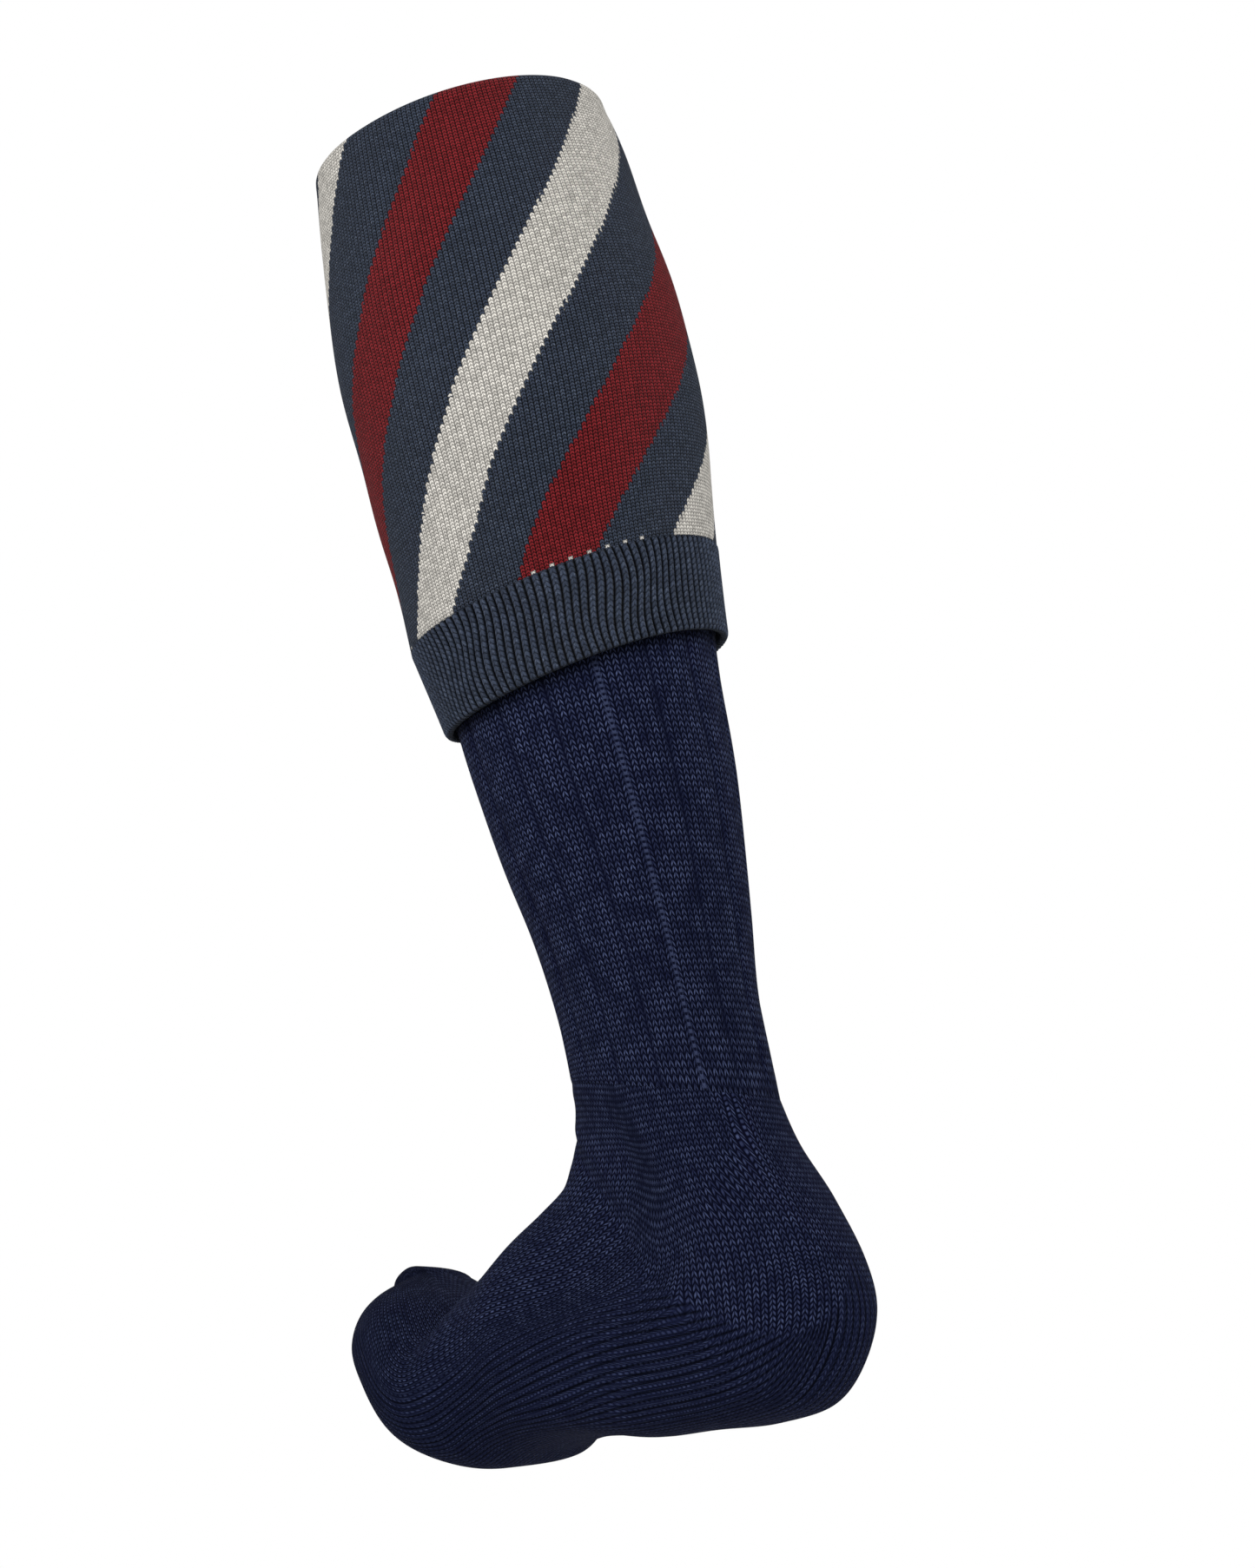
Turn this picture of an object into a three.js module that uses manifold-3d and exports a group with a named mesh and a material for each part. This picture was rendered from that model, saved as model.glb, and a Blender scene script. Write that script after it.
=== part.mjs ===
// Knee-high knitted sock with a striped turnover cuff, standing up as if a leg filled it.
//
// Frame, in millimetres: +Z is up, the toe points to -Y and the outer side of a left foot is +X.
// The origin lies on the inner sole under the ankle, where the foot stands in the sock.
//
// Every piece is a stretch of one surface, made of rings. A ring joins a point on the front of the
// sock to a point on its back: shin to calf, then instep to heel, then the top of the foot to the
// sole. Angles round a ring start at the front and pass the outer side, the back and the inner side.
import * as THREE from "three";
import { mergeVertices } from "three/addons/utils/BufferGeometryUtils.js";
import Module from "manifold-3d";

const wasm = await Module();
wasm.setup();

// Driving sizes
const FOOT_LENGTH = 213;        // back of the heel to the front of the raised toes
const INSTEP_HEIGHT = 112;      // sole to the bend between instep and shin
const FOOT_WIDTH = 104;         // widest place, across the ball
const HEEL_SETBACK = 75.5;      // back of the heel behind the ankle's middle
const LEG_HEIGHT = 355;         // bend of the instep to the fold at the knee
const CALF_DEPTH = 126;         // shin to calf
const CALF_WIDTH = 115;         // side to side of the calf
const LEAN_TO_SIDE = 10;        // degrees that the leg leans to the outer side
const LEAN_FROM = 60;           // height above the sole where the lean begins
const TOE_DOME = 6;             // how far the rounded tip stands past the last ring

const FOOT_WALL = 2.4;          // terry knit of foot and heel
const LEG_WALL = 2.2;           // ribbed knit of the leg
const CUFF_WALL = 2.2;          // striped knit of the cuff
const WELT_WALL = 2.8;          // elastic rib along the cuff's edge, over its ridges
const GAP = 0.3;                // clearance between neighbouring pieces

const CUFF_LENGTH = 171.5;      // fold to welt, at the middle of the leg
const WELT_HEIGHT = 32.5;
const CUFF_STAND = 0.8;         // room between leg and cuff at the fold
const EDGE_STAND_FRONT = 5.8;   // room between leg and cuff at the welt, at the front
const EDGE_STAND_BACK = 1.2;    // and at the back
const WELT_STAND = 2.2;         // room between leg and welt at the lower edge, which grips more
const FOLD_LIP = 7;             // how far the fold reaches down inside the leg
const LIP_ROOM = 0.6;           // room between that lip and the leg
const FOLD_RISE_BACK = 2.5;     // degrees that the fold rises towards the back
const FOLD_RISE_INNER = 14.5;   // degrees that it rises towards the inner side
const EDGE_RISE_BACK = 8;       // degrees that the cuff's edge rises towards the back
const EDGE_RISE_INNER = 14;     // degrees that it rises towards the inner side

const RIB_COUNT = 14;           // broad ribs round the leg
const RIB_DEPTH = 1.0;          // depth of the groove between two of them
const RIB_GROOVE = 5;           // width of that groove
const RIBBED_FRONT = 12;        // first ribbed course above the instep bend, at the front
const RIBBED_BACK = -5;         // and at the back, where it lies lower
const WELT_RIB_COUNT = 56;
const WELT_RIB_DEPTH = 1.0;

const HEEL_CORNER_BEHIND = 10;  // the heel pocket's two corners, behind the ankle's middle
const HEEL_CORNER_HEIGHT = 50;  // and above the sole

// Bluntness of a ring: 1 makes an ellipse, less makes it squarer.
const FOOT_BLUNT = 0.84;
const LEG_BLUNT = 0.97;

// Rings of the foot, from the last ring before the toe tip to the one below the ribbed leg. Places
// along the foot are shares of FOOT_LENGTH from the back of the heel, heights are shares of
// INSTEP_HEIGHT, and the two half widths are shares of FOOT_WIDTH. sag is the share by which the
// widest place lies low, and round goes from the foot's blunt rings to the leg's rounder ones.
const FOOT_RINGS = table("topAlong topUp soleAlong soleUp inner outer sag round", [
  [0.913, 0.634, 0.984, 0.571, 0.29, 0.07, 0.00, 0.0],
  [0.880, 0.589, 1.000, 0.482, 0.37, 0.25, 0.00, 0.0],
  [0.833, 0.527, 0.982, 0.339, 0.44, 0.38, 0.00, 0.0],
  [0.796, 0.455, 0.920, 0.190, 0.48, 0.45, 0.05, 0.0],
  [0.777, 0.430, 0.852, 0.055, 0.50, 0.48, 0.10, 0.0],
  [0.763, 0.446, 0.780, -0.020, 0.48, 0.48, 0.15, 0.0],
  [0.739, 0.527, 0.720, -0.030, 0.44, 0.45, 0.20, 0.0],
  [0.688, 0.603, 0.664, 0.005, 0.39, 0.41, 0.20, 0.0],
  [0.628, 0.688, 0.589, 0.027, 0.36, 0.41, 0.20, 0.0],
  [0.562, 0.758, 0.514, 0.022, 0.34, 0.38, 0.20, 0.0],
  [0.512, 0.830, 0.420, 0.004, 0.33, 0.34, 0.20, 0.0],
  [0.492, 0.906, 0.308, 0.000, 0.32, 0.33, 0.20, 0.0],
  [0.484, 0.946, 0.204, 0.000, 0.32, 0.33, 0.15, 0.1],
  [0.481, 0.973, 0.103, 0.027, 0.32, 0.32, 0.10, 0.2],
  [0.480, 0.996, 0.035, 0.125, 0.32, 0.32, 0.00, 0.3],
  [0.480, 1.018, 0.000, 0.268, 0.32, 0.32, 0.00, 0.5],
  [0.479, 1.040, 0.009, 0.429, 0.31, 0.31, 0.00, 0.6],
  [0.479, 1.062, 0.049, 0.607, 0.30, 0.30, 0.00, 0.8],
  [0.479, 1.084, 0.094, 0.786, 0.29, 0.29, 0.00, 0.9],
]);

// Rings of the leg. up is a share of LEG_HEIGHT above the instep bend, front and back are shares
// of CALF_DEPTH from the ankle's middle, and side is a share of CALF_WIDTH.
const LEG_RINGS = table("up front back side", [
  [-0.020, -0.213, 0.396, 0.258],
  [0.084, -0.203, 0.387, 0.270],
  [0.173, -0.234, 0.409, 0.309],
  [0.296, -0.301, 0.440, 0.365],
  [0.416, -0.338, 0.450, 0.401],
  [0.536, -0.380, 0.480, 0.444],
  [0.660, -0.437, 0.532, 0.488],
  [0.780, -0.463, 0.535, 0.500],
  [0.900, -0.439, 0.489, 0.480],
  [1.000, -0.401, 0.437, 0.461],
  [1.040, -0.373, 0.405, 0.441],
]);

const SOLE_LEVEL = -FOOT_WALL;
const BEND_LEVEL = SOLE_LEVEL + INSTEP_HEIGHT;
const FOLD_LEVEL = BEND_LEVEL + LEG_HEIGHT;
const LEAN = Math.tan(THREE.MathUtils.degToRad(LEAN_TO_SIDE));
const TURN = 2 * Math.PI;

// Rows of numbers under named columns, as objects.
function table(names, rows) {
  const keys = names.split(" ");
  return rows.map((row) => Object.fromEntries(keys.map((key, i) => [key, row[i]])));
}

function footRing(row) {
  const along = (share) => HEEL_SETBACK - share * FOOT_LENGTH;
  const up = (share) => SOLE_LEVEL + share * INSTEP_HEIGHT;
  return {
    front: new THREE.Vector2(along(row.topAlong), up(row.topUp)),
    back: new THREE.Vector2(along(row.soleAlong), up(row.soleUp)),
    inner: row.inner * FOOT_WIDTH,
    outer: row.outer * FOOT_WIDTH,
    sag: row.sag,
    blunt: THREE.MathUtils.lerp(FOOT_BLUNT, LEG_BLUNT, row.round),
  };
}

// One column of the leg's table between rows i - 1 and i, as a cubic that takes its slopes from
// the rows around it.
function smoothColumn(key, i, t) {
  const span = LEG_RINGS[i].up - LEG_RINGS[i - 1].up;
  const slope = (j) => {
    const low = LEG_RINGS[Math.max(j - 1, 0)];
    const high = LEG_RINGS[Math.min(j + 1, LEG_RINGS.length - 1)];
    return ((high[key] - low[key]) / (high.up - low.up)) * span;
  };
  const square = t * t;
  const cube = square * t;
  return LEG_RINGS[i - 1][key] * (2 * cube - 3 * square + 1) + slope(i - 1) * (cube - 2 * square + t)
    + LEG_RINGS[i][key] * (3 * square - 2 * cube) + slope(i) * (cube - square);
}

// One column of the leg's table at one height, as a share.
function legShare(key, level) {
  const highest = LEG_RINGS[LEG_RINGS.length - 1].up;
  const share = THREE.MathUtils.clamp((level - BEND_LEVEL) / LEG_HEIGHT, LEG_RINGS[0].up, highest);
  const i = LEG_RINGS.findIndex((row, at) => at > 0 && row.up >= share);
  const t = (share - LEG_RINGS[i - 1].up) / (LEG_RINGS[i].up - LEG_RINGS[i - 1].up);
  return smoothColumn(key, i, t);
}

// The leg's ring through a height at the front and one at the back, which are alike on a level ring.
function legRing(frontLevel, backLevel = frontLevel) {
  const side = legShare("side", (frontLevel + backLevel) / 2) * CALF_WIDTH;
  return {
    front: new THREE.Vector2(legShare("front", frontLevel) * CALF_DEPTH, frontLevel),
    back: new THREE.Vector2(legShare("back", backLevel) * CALF_DEPTH, backLevel),
    inner: side,
    outer: side,
    sag: 0,
    blunt: LEG_BLUNT,
  };
}

// The ring where foot meets ribbed leg, lifted by a clearance.
function firstRibbedRing(clearance) {
  return legRing(BEND_LEVEL + RIBBED_FRONT + clearance, BEND_LEVEL + RIBBED_BACK + clearance);
}

// Sideways shift of a point, which grows smoothly above the height where the lean begins.
function leanAt(level) {
  const lift = Math.max(level - SOLE_LEVEL - LEAN_FROM, 0);
  return (LEAN * lift * lift) / (lift + LEAN_FROM / 3);
}

function blunted(value, power) {
  return Math.sign(value) * Math.abs(value) ** power;
}

// A point of a ring, moved inwards by inset. scale shrinks the ring and ahead pushes it forward
// out of its plane, which makes the rounded toe tip.
function ringPoint(ring, angle, inset, scale = 1, ahead = 0) {
  const middle = ring.front.clone().add(ring.back).multiplyScalar(0.5);
  const toFront = ring.front.clone().sub(middle);
  const reach = toFront.length();
  toFront.divideScalar(reach);
  const forward = new THREE.Vector2(-toFront.y, toFront.x);
  const side = blunted(Math.sin(angle), ring.blunt);
  const halfWidth = side >= 0 ? ring.outer : ring.inner;
  const lengthwise = blunted(Math.cos(angle), ring.blunt) * (reach - inset)
    - side * side * ring.sag * reach;
  const place = middle.addScaledVector(toFront, lengthwise * scale).addScaledVector(forward, ahead);
  const across = side * (halfWidth - inset) * scale;
  return new THREE.Vector3(across + leanAt(place.y), place.x, place.y);
}

// A closed body from rows of points, each row a loop of as many columns. The rows follow one
// another round the wall's section: along the outer face, over a rim, along the inner face and
// back. A row of one point is a pole, where a face closes.
function bodyFromRows(rows) {
  const positions = [];
  const starts = rows.map((row) => {
    const start = positions.length / 3;
    row.forEach((point) => positions.push(point.x, point.y, point.z));
    return start;
  });
  const index = [];
  rows.forEach((row, r) => {
    const next = (r + 1) % rows.length;
    const columns = Math.max(row.length, rows[next].length);
    const corner = (which, column) => starts[which] + (column % rows[which].length);
    for (let column = 0; columns > 1 && column < columns; column += 1) {
      const [a, b] = [corner(r, column), corner(r, column + 1)];
      const [c, d] = [corner(next, column), corner(next, column + 1)];
      if (a !== b) index.push(a, b, d);
      if (c !== d) index.push(a, d, c);
    }
  });
  const geometry = new THREE.BufferGeometry();
  geometry.setAttribute("position", new THREE.Float32BufferAttribute(positions, 3));
  geometry.setIndex(index);
  return geometry;
}

function evenAngles(count) {
  return Array.from({ length: count }, (_, i) => (i / count) * TURN);
}

// Foot and heel in one shell, from the toe tip up to the first ribbed course, open at the top.
function footShell() {
  const angles = evenAngles(36);
  const tipTurns = [72, 48, 24, 0].map(THREE.MathUtils.degToRad);
  const [first, ...others] = [...FOOT_RINGS.map(footRing), firstRibbedRing(0)];
  const face = (inset) => {
    const dome = TOE_DOME - inset;
    const tip = tipTurns.map((turn) => angles.map((angle) => (
      ringPoint(first, angle, inset, Math.cos(turn), dome * Math.sin(turn)))));
    const tube = others.map((ring) => angles.map((angle) => ringPoint(ring, angle, inset)));
    return [[ringPoint(first, 0, inset, 0, dome)], ...tip, ...tube];
  };
  return bodyFromRows([...face(0), ...face(FOOT_WALL).reverse()]);
}

function toSolid(geometry) {
  const plain = geometry.clone();
  plain.deleteAttribute("normal");
  plain.deleteAttribute("uv");
  const merged = mergeVertices(plain);
  return new wasm.Manifold(new wasm.Mesh({
    numProp: 3,
    vertProperties: new Float32Array(merged.attributes.position.array),
    triVerts: new Uint32Array(merged.index.array),
  }));
}

function toGeometry(solid) {
  const mesh = solid.getMesh();
  const geometry = new THREE.BufferGeometry();
  geometry.setAttribute("position", new THREE.Float32BufferAttribute(mesh.vertProperties, 3));
  geometry.setIndex([...mesh.triVerts]);
  return geometry;
}

// The block behind and below the heel pocket's corners. A clearance draws both its faces back.
function heelBlock(clearance) {
  const size = FOOT_LENGTH + INSTEP_HEIGHT;
  const block = new THREE.BoxGeometry(size, size, size);
  const cornerLevel = SOLE_LEVEL + HEEL_CORNER_HEIGHT;
  block.translate(0, HEEL_CORNER_BEHIND + clearance + size / 2, cornerLevel - clearance - size / 2);
  return toSolid(block);
}

function footAndHeel() {
  const shell = toSolid(footShell());
  return {
    foot: toGeometry(shell.subtract(heelBlock(0))),
    heel: toGeometry(shell.intersect(heelBlock(GAP))),
  };
}

// Stops round the leg: each broad rib is flat between two narrow grooves.
function legStops() {
  const halfGroove = (RIB_GROOVE / 2) * (RIB_COUNT / (Math.PI * CALF_WIDTH));
  const rib = [
    { at: 0, inset: RIB_DEPTH },
    { at: halfGroove, inset: 0 },
    { at: 1 / 3, inset: 0 },
    { at: 2 / 3, inset: 0 },
    { at: 1 - halfGroove, inset: 0 },
  ];
  return Array.from({ length: RIB_COUNT }, (_, count) => rib.map((stop) => (
    { angle: ((count + stop.at) / RIB_COUNT) * TURN, inset: stop.inset }))).flat();
}

// A point of the leg's surface on a ring that slants by two slopes, some way out of the surface.
function slantedPoint(level, angle, out, slopes) {
  const flat = legRing(level);
  const halfDepth = (flat.back.x - flat.front.x) / 2;
  const rise = -(slopes.back * Math.cos(angle) * halfDepth
    + slopes.inner * Math.sin(angle) * flat.outer);
  const ring = legRing(level + rise);
  return ringPoint(ring, angle, -out);
}

// Slopes of a ring towards the back and the inner side, from two slants in degrees.
function slopesOf(back, inner) {
  return {
    back: Math.tan(THREE.MathUtils.degToRad(back)),
    inner: Math.tan(THREE.MathUtils.degToRad(inner)),
  };
}

// The lowest ring slants with the foot's last one, and the rings above it slant more and more
// towards the fold.
function legTube() {
  const stops = legStops();
  const steps = [0.04, 0.12, 0.22, 0.33, 0.44, 0.55, 0.67, 0.78, 0.88, 0.95, 0.98, 1];
  const face = (inset) => {
    const lowest = stops.map((stop) => ringPoint(firstRibbedRing(GAP), stop.angle, inset(stop)));
    const others = steps.map((step) => {
      const level = BEND_LEVEL + RIBBED_FRONT + step * (LEG_HEIGHT - RIBBED_FRONT);
      const slopes = slopesOf(FOLD_RISE_BACK * step, FOLD_RISE_INNER * step);
      return stops.map((stop) => slantedPoint(level, stop.angle, -inset(stop), slopes));
    });
    return [lowest, ...others];
  };
  return bodyFromRows([...face((stop) => stop.inset), ...face(() => LEG_WALL).reverse()]);
}

// Room between the leg and the cuff, which opens out towards the welt. The welt draws in again.
function standAt(drop, angle) {
  const ahead = (1 + Math.cos(angle)) / 2;
  const edgeStand = THREE.MathUtils.lerp(EDGE_STAND_BACK, EDGE_STAND_FRONT, ahead);
  if (drop > CUFF_LENGTH) {
    return THREE.MathUtils.lerp(edgeStand, WELT_STAND, (drop - CUFF_LENGTH) / WELT_HEIGHT);
  }
  const share = Math.max(drop, 0) / CUFF_LENGTH;
  return CUFF_STAND + (edgeStand - CUFF_STAND) * share ** 3;
}

// A point of the cuff or the welt, a drop below the fold and some way out from the leg's surface.
// Its ring's slant goes from the fold's to that of the cuff's edge.
function cuffPoint(drop, angle, out) {
  const share = THREE.MathUtils.clamp(drop / CUFF_LENGTH, 0, 1);
  const slopes = slopesOf(
    THREE.MathUtils.lerp(FOLD_RISE_BACK, EDGE_RISE_BACK, share),
    THREE.MathUtils.lerp(FOLD_RISE_INNER, EDGE_RISE_INNER, share),
  );
  const seat = slantedPoint(FOLD_LEVEL - Math.max(drop, 0), angle, out, slopes);
  const lift = Math.max(-drop, 0);
  return seat.add(new THREE.Vector3(LEAN * lift, 0, lift));
}

// Points of a half circle over the leg's top edge, from one distance out to another.
function foldArc(from, to, steps) {
  return Array.from({ length: steps + 1 }, (_, i) => {
    const turn = (i / steps) * Math.PI;
    const radius = (from - to) / 2;
    return {
      drop: -GAP - Math.abs(radius) * Math.sin(turn),
      out: (from + to) / 2 + radius * Math.cos(turn),
    };
  });
}

// The cuff's section runs up the outer face, over the fold to the lip inside the leg, and back.
function turnoverCuff() {
  const angles = evenAngles(44);
  const hooked = -(LEG_WALL + LIP_ROOM);
  const shares = [1, 0.87, 0.74, 0.6, 0.46, 0.32, 0.18, 0.05];
  const drops = shares.map((share) => share * (CUFF_LENGTH - GAP));
  const hung = (drop, thickness) => angles.map((angle) => (
    cuffPoint(drop, angle, standAt(drop, angle) + thickness)));
  const folded = (stops) => stops.map((stop) => angles.map((angle) => (
    cuffPoint(stop.drop, angle, stop.out))));
  return bodyFromRows([
    ...drops.map((drop) => hung(drop, CUFF_WALL)),
    ...folded(foldArc(CUFF_STAND + CUFF_WALL, hooked - CUFF_WALL, 6)),
    ...folded([{ drop: FOLD_LIP, out: hooked - CUFF_WALL }, { drop: FOLD_LIP, out: hooked }]),
    ...folded(foldArc(hooked, CUFF_STAND, 3)),
    ...drops.reverse().map((drop) => hung(drop, 0)),
  ]);
}

function cuffWelt() {
  const angles = evenAngles(2 * WELT_RIB_COUNT);
  const drops = [1, 0.5, 0].map((share) => CUFF_LENGTH + share * WELT_HEIGHT);
  const ridge = (i) => WELT_WALL - (i % 2) * WELT_RIB_DEPTH;
  const outside = drops.map((drop) => angles.map((angle, i) => (
    cuffPoint(drop, angle, standAt(drop, angle) + ridge(i)))));
  const inside = drops.map((drop) => angles.map((angle) => (
    cuffPoint(drop, angle, standAt(drop, angle)))));
  return bodyFromRows([...outside, ...inside.reverse()]);
}

function knit(name, geometry, colour) {
  const material = new THREE.MeshStandardMaterial({ color: colour, roughness: 0.95, metalness: 0 });
  const mesh = new THREE.Mesh(geometry, material);
  mesh.name = name;
  return mesh;
}

const { foot, heel } = footAndHeel();
const sock = new THREE.Group();
sock.add(
  knit("foot", foot, 0x1a2037),
  knit("heel", heel, 0x1b2038),
  knit("leg", legTube(), 0x212539),
  knit("turnover_cuff", turnoverCuff(), 0x30353f),
  knit("cuff_welt", cuffWelt(), 0x2a2e39),
);

export default sock;
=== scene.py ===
"""Detailed knit of a knee-high sock with a striped turnover cuff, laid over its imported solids.

Lengths in this file are in millimetres until a mesh is made. Angles round the sock run from its
front (0) through its outer side (90) to its back (180).
"""

import bpy
import numpy as np
from mathutils import Matrix, Vector


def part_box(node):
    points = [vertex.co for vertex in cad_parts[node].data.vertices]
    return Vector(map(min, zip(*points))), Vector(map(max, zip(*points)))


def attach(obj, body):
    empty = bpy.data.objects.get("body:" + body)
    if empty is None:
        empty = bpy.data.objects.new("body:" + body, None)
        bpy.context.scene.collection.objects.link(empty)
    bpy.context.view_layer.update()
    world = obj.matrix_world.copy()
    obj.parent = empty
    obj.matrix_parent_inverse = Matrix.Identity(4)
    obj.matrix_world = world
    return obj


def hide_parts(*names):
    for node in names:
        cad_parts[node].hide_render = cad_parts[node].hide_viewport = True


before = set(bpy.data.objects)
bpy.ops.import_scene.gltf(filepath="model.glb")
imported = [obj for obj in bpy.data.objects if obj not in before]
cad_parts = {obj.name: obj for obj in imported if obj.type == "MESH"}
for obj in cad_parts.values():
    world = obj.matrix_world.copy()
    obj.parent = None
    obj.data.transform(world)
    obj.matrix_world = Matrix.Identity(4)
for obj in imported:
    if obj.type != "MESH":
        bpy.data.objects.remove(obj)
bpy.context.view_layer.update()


def corners(node):
    """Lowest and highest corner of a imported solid, in millimetres."""
    return [np.array(corner) * 1000 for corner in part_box(node)]


FOOT_LOW, FOOT_HIGH = corners("foot")
HEEL_LOW, HEEL_HIGH = corners("heel")
LEG_LOW, LEG_HIGH = corners("leg")
CUFF_LOW, CUFF_HIGH = corners("turnover_cuff")
WELT_LOW, WELT_HIGH = corners("cuff_welt")

# Main sizes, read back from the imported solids
HEEL_BACK = HEEL_HIGH[1]
FOOT_LENGTH = HEEL_BACK - FOOT_LOW[1]
FOOT_WIDTH = (FOOT_HIGH[0] - FOOT_LOW[0]) / 0.98
SOLE = HEEL_LOW[2]
INSTEP_HEIGHT = 0.9032 * (FOOT_HIGH[2] - SOLE)
BEND = SOLE + INSTEP_HEIGHT
LEG_HEIGHT = 0.9623 * (LEG_HIGH[2] - BEND)
FOLD = BEND + LEG_HEIGHT
CALF_DEPTH = LEG_HIGH[1] - LEG_LOW[1]
CALF_WIDTH = 0.913 * CALF_DEPTH
CUFF_LENGTH = 0.8407 * (CUFF_HIGH[2] - CUFF_LOW[2])
WELT_HEIGHT = 0.536 * (WELT_HIGH[2] - WELT_LOW[2])

# Walls and how far the cuff stands off the leg
FOOT_WALL = 2.4
LEG_WALL = 2.2
CUFF_WALL = 2.2
WELT_WALL = 2.4
CUFF_STAND = 0.8
EDGE_STAND_FRONT = 5.8
EDGE_STAND_BACK = 1.2
WELT_STAND = 2.2
FOLD_LIP = 7.0
LIP_ROOM = 0.6

# Slopes, in degrees
LEAN_TO_SIDE = 10.0
LEAN_FROM = 60.0
FOLD_RISE_BACK = 2.5
FOLD_RISE_INNER = 14.5
EDGE_RISE_BACK = 8.0
EDGE_RISE_INNER = 14.0

# Rounding
FOOT_BLUNT = 0.84
LEG_BLUNT = 0.97
TOE_DOME = 6.0
RIBBED_FRONT = 12.0
RIBBED_BACK = -5.0

# Knit
RIBS = 15
RIB_WALES = 7
LEG_WALES = RIBS * RIB_WALES
LEG_COURSE = 2.1
RIB_DEPTH = 0.7
FOOT_WALES = 25.5
FINE_WALES = 32.5
GORE_SLANT = 1.5
HEEL_TOP = 50.0
CUFF_WALES = 200
CUFF_COURSE = 1.2
WELT_RIBS = 113
WELT_COURSE = 1.9
WELT_RIB_DEPTH = 1.2
FOOT_WALE = 2.9

# Stripes: where each colour starts and ends across one period
STRIPE_PERIOD = 160.0
CREAM_END = 38.0
RED_START = 78.0
RED_END = 120.0
CARRIED_START = 52.0
CARRIED_END = 121.0
CARRIED_EVERY = 4.0

# Height of the gore's corner line along the foot, and the heel's profile behind it
CORNER_Y = 10.0
CORNER_LINE = np.array([
    [-89.0, 21.5], [-80.0, 25.4], [-68.0, 31.6], [-54.0, 37.6],
    [-39.0, 41.3], [-24.0, 44.3], [-10.0, 48.0], [2.0, 50.0],
])
HEEL_PROFILE = np.array([
    [-2.4, 40.0], [0.6, 56.0], [11.6, 68.0], [27.6, 75.5], [45.6, 73.6],
    [65.6, 65.0], [85.6, 55.5], [104.6, 49.9], [130.0, 49.0],
])

# Camera and floor, in metres
CAMERA_PLACE = (0.7166, 0.5684, -0.0436)
CAMERA_RIGHT = (-0.6391, 0.7642, -0.0871)
CAMERA_UP = (0.1694, 0.2503, 0.9533)
CAMERA_FORWARD = (-0.7503, -0.5944, 0.2894)
PHOTO_HEIGHT = 1806
FLOOR_REACH = 1.0
FLOOR_LEVEL = -0.10
LIT_POINT = (0.02, 0, 0.25)

# top_along top_up sole_along sole_up inner outer sag round, as shares of the foot's sizes
FOOT_ROWS = np.array([
    [0.913, 0.634, 0.984, 0.571, 0.29, 0.07, 0.00, 0.0],
    [0.880, 0.589, 1.000, 0.482, 0.37, 0.25, 0.00, 0.0],
    [0.833, 0.527, 0.982, 0.339, 0.44, 0.38, 0.00, 0.0],
    [0.796, 0.455, 0.920, 0.190, 0.48, 0.45, 0.05, 0.0],
    [0.777, 0.430, 0.852, 0.055, 0.50, 0.48, 0.10, 0.0],
    [0.763, 0.446, 0.780, -0.020, 0.48, 0.48, 0.15, 0.0],
    [0.739, 0.527, 0.720, -0.030, 0.44, 0.45, 0.20, 0.0],
    [0.688, 0.603, 0.664, 0.005, 0.39, 0.41, 0.20, 0.0],
    [0.628, 0.688, 0.589, 0.027, 0.36, 0.41, 0.20, 0.0],
    [0.562, 0.758, 0.514, 0.022, 0.34, 0.38, 0.20, 0.0],
    [0.512, 0.830, 0.420, 0.004, 0.33, 0.34, 0.20, 0.0],
    [0.492, 0.906, 0.308, 0.000, 0.32, 0.33, 0.20, 0.0],
    [0.484, 0.946, 0.204, 0.000, 0.32, 0.33, 0.15, 0.1],
    [0.481, 0.973, 0.103, 0.027, 0.32, 0.32, 0.10, 0.2],
    [0.480, 0.996, 0.035, 0.125, 0.32, 0.32, 0.00, 0.3],
    [0.480, 1.018, 0.000, 0.268, 0.32, 0.32, 0.00, 0.5],
    [0.479, 1.040, 0.009, 0.429, 0.31, 0.31, 0.00, 0.6],
    [0.479, 1.062, 0.049, 0.607, 0.30, 0.30, 0.00, 0.8],
    [0.479, 1.084, 0.094, 0.786, 0.29, 0.29, 0.00, 0.9],
])

# up front back side, as shares of the leg's sizes
LEG_ROWS = np.array([
    [-0.020, -0.213, 0.396, 0.258],
    [0.084, -0.203, 0.387, 0.270],
    [0.173, -0.234, 0.409, 0.309],
    [0.296, -0.301, 0.440, 0.365],
    [0.416, -0.338, 0.450, 0.401],
    [0.536, -0.380, 0.480, 0.444],
    [0.660, -0.437, 0.532, 0.488],
    [0.780, -0.463, 0.535, 0.500],
    [0.900, -0.439, 0.489, 0.480],
    [1.000, -0.401, 0.437, 0.461],
    [1.040, -0.373, 0.405, 0.441],
])


def smooth_rows(places, rows, at):
    """Values of a table's columns at places along it, on a smooth curve through its rows."""
    at = np.clip(at, places[0], places[-1])
    i = np.clip(np.searchsorted(places, at, side="right") - 1, 0, len(places) - 2)
    after = np.minimum(np.arange(len(places)) + 1, len(places) - 1)
    before = np.maximum(np.arange(len(places)) - 1, 0)
    slopes = (rows[after] - rows[before]) / (places[after] - places[before])[:, None]
    span = (places[i + 1] - places[i])[..., None]
    t = (at - places[i])[..., None] / span
    rise = t * t * (3 - 2 * t)
    start = t * (1 - t) ** 2 * span * slopes[i]
    end = t * t * (t - 1) * span * slopes[i + 1]
    return rows[i] * (1 - rise) + rows[i + 1] * rise + start + end


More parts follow.
